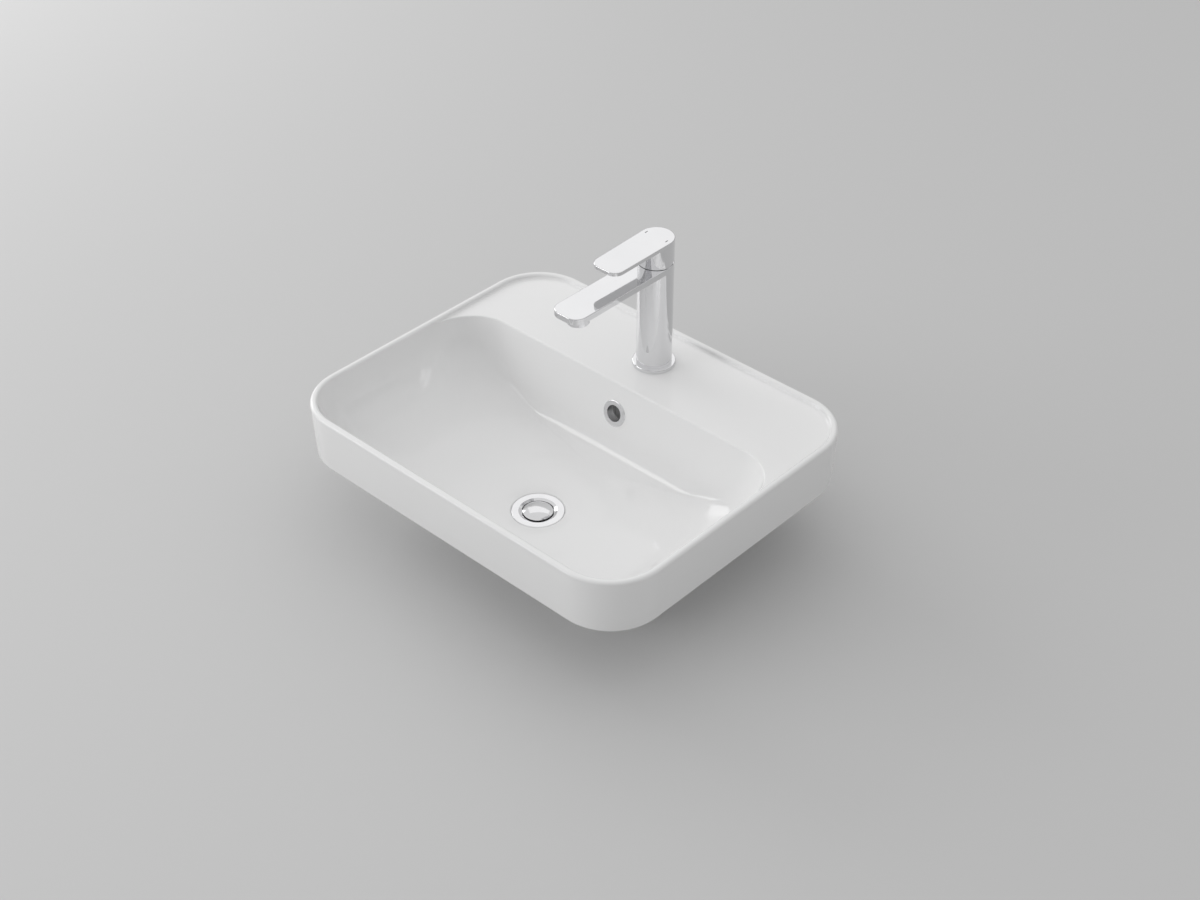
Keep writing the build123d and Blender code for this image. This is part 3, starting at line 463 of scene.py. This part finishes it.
twice = [f for f in under.faces if covered(f)]
print("faces of the solid", len(under.faces), "covered", len(twice))
bmesh.ops.delete(under, geom=twice, context="FACES")
under_mesh = bpy.data.meshes.new("china_underside")
under.to_mesh(under_mesh)
china.from_mesh(under_mesh)
bpy.data.meshes.remove(under_mesh)
china_mesh = bpy.data.meshes.new("china")
china.to_mesh(china_mesh)
china_mesh.polygons.foreach_set("use_smooth", [True] * len(china_mesh.polygons))
china_mesh.set_sharp_from_angle(angle=SHARP_ANGLE)
basin = bpy.data.objects.new("glazed_basin", china_mesh)
scene.collection.objects.link(basin)
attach(basin, "basin")
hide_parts("basin_body")
print("faces of the basin", len(china_mesh.polygons))

# %% [markdown]
# ## Finishes
# Each finish starts from the physical shader. Glaze and chrome are almost
# mirrors, so what makes them look real is small: a slow waviness, and places
# that are slightly less polished. Those come from noise in object space, so
# they stay on the piece when it moves.


# %% Helper for a finish
NOISE_LOW, NOISE_HIGH, SMEAR_FINENESS = 0.3, 0.7, 2.5


def finish(name, colour, metallic, roughness, rough_range, bump=0.0, bump_scale=60.0, mottle=0.0,
           mottle_scale=8.0, stretch=(1, 1, 1), **sockets):
    material = bpy.data.materials.new(name)
    material.use_nodes = True
    tree = material.node_tree
    shader = tree.nodes["Principled BSDF"]
    shader.inputs["Metallic"].default_value = metallic
    for socket, value in sockets.items():
        shader.inputs[socket.replace("_", " ")].default_value = value
    place = tree.nodes.new("ShaderNodeTexCoord")
    scale = tree.nodes.new("ShaderNodeMapping")
    scale.inputs["Scale"].default_value = stretch
    tree.links.new(place.outputs["Object"], scale.inputs["Vector"])

    def noise(size, detail):
        node = tree.nodes.new("ShaderNodeTexNoise")
        node.inputs["Scale"].default_value = size
        node.inputs["Detail"].default_value = detail
        tree.links.new(scale.outputs["Vector"], node.inputs["Vector"])
        return node

    def spread(source, low, high):
        node = tree.nodes.new("ShaderNodeMapRange")
        node.inputs["From Min"].default_value = NOISE_LOW
        node.inputs["From Max"].default_value = NOISE_HIGH
        node.inputs["To Min"].default_value = low
        node.inputs["To Max"].default_value = high
        tree.links.new(source.outputs["Fac"], node.inputs["Value"])
        return node

    cloud = noise(mottle_scale, 3.0)
    shade = tree.nodes.new("ShaderNodeMix")
    shade.data_type = "RGBA"
    shade.inputs["A"].default_value = (*[c * (1 - mottle) for c in colour], 1)
    shade.inputs["B"].default_value = (*colour, 1)
    tree.links.new(spread(cloud, 0.0, 1.0).outputs["Result"], shade.inputs["Factor"])
    tree.links.new(shade.outputs["Result"], shader.inputs["Base Color"])
    smear = spread(noise(mottle_scale * SMEAR_FINENESS, 4.0), roughness, roughness + rough_range)
    tree.links.new(smear.outputs["Result"], shader.inputs["Roughness"])
    if bump:
        wave = tree.nodes.new("ShaderNodeBump")
        wave.inputs["Strength"].default_value = 1.0
        wave.inputs["Distance"].default_value = bump
        tree.links.new(noise(bump_scale, 2.0).outputs["Fac"], wave.inputs["Height"])
        tree.links.new(wave.outputs["Normal"], shader.inputs["Normal"])
    return material


# %% Make the finishes
finishes = {
    "glazed_china": finish("white_glaze", (0.86, 0.86, 0.86), 0.0, 0.05, 0.03, bump=1.5e-5, bump_scale=14.0,
                           mottle=0.012, mottle_scale=5.0, IOR=1.48),
    "tap_chrome": finish("tap_chrome", (0.80, 0.80, 0.81), 1.0, 0.035, 0.03, bump=1.0e-6, bump_scale=90.0,
                         mottle=0.03, mottle_scale=18.0),
    "waste_chrome": finish("waste_chrome", (0.80, 0.80, 0.81), 1.0, 0.05, 0.05, bump=1.0e-6, bump_scale=150.0,
                           mottle=0.04, mottle_scale=40.0),
    "dark_rubber": finish("black_rubber", (0.022, 0.022, 0.023), 0.0, 0.62, 0.12, bump=2.0e-5,
                          bump_scale=900.0, mottle=0.2, mottle_scale=120.0),
    "bare_brass": finish("turned_brass", (0.72, 0.55, 0.28), 1.0, 0.24, 0.12, bump=4.0e-6, bump_scale=500.0,
                         mottle=0.12, mottle_scale=60.0, stretch=(1, 1, 9)),
    "cartridge_plastic": finish("white_acetal", (0.74, 0.75, 0.76), 0.0, 0.38, 0.1, bump=5.0e-6,
                                bump_scale=700.0, mottle=0.03, mottle_scale=80.0),
    "grey_plastic": finish("grey_nylon", (0.12, 0.12, 0.13), 0.0, 0.4, 0.12, bump=8.0e-6, bump_scale=800.0,
                           mottle=0.08, mottle_scale=90.0),
    "disc_ceramic": finish("lapped_ceramic", (0.80, 0.79, 0.75), 0.0, 0.12, 0.08, bump=1.0e-6,
                           bump_scale=400.0, mottle=0.03, mottle_scale=100.0),
    "plain_steel": finish("plain_steel", (0.55, 0.55, 0.56), 1.0, 0.28, 0.12, bump=3.0e-6, bump_scale=600.0,
                          mottle=0.1, mottle_scale=80.0, stretch=(1, 1, 6)),
    "copper_tube": finish("drawn_copper", (0.72, 0.42, 0.30), 1.0, 0.22, 0.14, bump=3.0e-6, bump_scale=500.0,
                          mottle=0.18, mottle_scale=70.0, stretch=(1, 1, 0.2)),
    "index_enamel": finish("index_enamel", (0.05, 0.05, 0.055), 0.0, 0.2, 0.1, bump=2.0e-6,
                           bump_scale=900.0, mottle=0.1, mottle_scale=300.0),
}
basin.data.materials.append(finishes["glazed_china"])
for name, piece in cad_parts.items():
    for slot in piece.material_slots:
        key = (slot.material.name if slot.material else "").split(".")[0]
        if key in finishes:
            slot.material = finishes[key]
        else:
            print("no finish for", name, key)
print("finishes", len(finishes))

# %% [markdown]
# ## Floor, lamps and camera
# The picture is a plain studio view: a pale grey floor, a bright sky that is
# darker towards the horizon, so that the chrome has something to mirror, and
# soft lamps on the left, in front and behind. The camera looks down on the
# basin from the front right.

# %% Floor
FLOOR_SIZE, FLOOR_Z = 30.0, -0.0005
floor_mesh = bpy.data.meshes.new("studio_floor")
floor_build = bmesh.new()
corners = [(x * FLOOR_SIZE, y * FLOOR_SIZE) for x, y in ((-1, -1), (1, -1), (1, 1), (-1, 1))]
floor_build.faces.new([floor_build.verts.new((x, y, FLOOR_Z)) for x, y in corners])
floor_build.to_mesh(floor_mesh)
floor = bpy.data.objects.new("studio_floor", floor_mesh)
scene.collection.objects.link(floor)
floor_mesh.materials.append(
    finish("pale_floor", (0.60, 0.60, 0.60), 0.0, 0.75, 0.1, mottle=0.01, mottle_scale=0.6, IOR=1.3)
)

# %% The sky, brighter overhead
world = bpy.data.worlds.new("studio")
scene.world = world
world.use_nodes = True
background = world.node_tree.nodes["Background"]
background.inputs["Color"].default_value = (1, 1, 1, 1)
HORIZON_LEVEL, OVERHEAD_LEVEL, HORIZON_END, OVERHEAD_START = 0.12, 0.80, 0.10, 0.52
sky = world.node_tree.nodes.new("ShaderNodeTexCoord")
parts = world.node_tree.nodes.new("ShaderNodeSeparateXYZ")
level = world.node_tree.nodes.new("ShaderNodeMapRange")
level.interpolation_type = "SMOOTHSTEP"
level.inputs["From Min"].default_value = HORIZON_END
level.inputs["From Max"].default_value = OVERHEAD_START
level.inputs["To Min"].default_value = HORIZON_LEVEL
level.inputs["To Max"].default_value = OVERHEAD_LEVEL
world.node_tree.links.new(sky.outputs["Generated"], parts.inputs["Vector"])
world.node_tree.links.new(parts.outputs["Z"], level.inputs["Value"])
world.node_tree.links.new(level.outputs["Result"], background.inputs["Strength"])
print("sky from", HORIZON_LEVEL, "to", OVERHEAD_LEVEL)


# %% Lamps
def soft_lamp(name, place, aim, size, watts):
    lamp = bpy.data.lights.new(name, "AREA")
    lamp.shape = "RECTANGLE"
    lamp.size, lamp.size_y = size
    lamp.energy = watts
    holder = bpy.data.objects.new(name, lamp)
    holder.location = place
    holder.rotation_euler = (Vector(aim) - Vector(place)).to_track_quat("-Z", "Y").to_euler()
    scene.collection.objects.link(holder)
    print(name, watts, "W")


soft_lamp("back_lamp", (-1.95, 2.10, 2.45), (0, 0.05, 0.25), (2.3, 1.6), 3.0)
soft_lamp("left_lamp", (-2.8, 0.1, 1.20), (0, 0, 0.1), (1.6, 1.4), 19.0)
soft_lamp("front_lamp", (-2.0, -2.5, 0.95), (0, 0, 0.1), (2.0, 1.4), 27.0)

# %% Camera
AZIMUTH, ELEVATION, DISTANCE, LENS, SENSOR = 42.886, 37.330, 2.1324, 57.10, 36.0
TARGET = Vector((0.07579, -0.03337, 0.162))
flat = math.cos(math.radians(ELEVATION))
away = Vector((math.sin(math.radians(AZIMUTH)) * flat, -math.cos(math.radians(AZIMUTH)) * flat,
               math.sin(math.radians(ELEVATION))))
lens = bpy.data.cameras.new("studio_camera")
lens.lens, lens.sensor_width = LENS, SENSOR
camera = bpy.data.objects.new("studio_camera", lens)
camera.location = TARGET + away * DISTANCE
camera.rotation_euler = (-away).to_track_quat("-Z", "Y").to_euler()
scene.collection.objects.link(camera)
scene.camera = camera
print("camera at", tuple(round(v, 4) for v in camera.location))

# %% Colour
scene.view_settings.view_transform = "Standard"
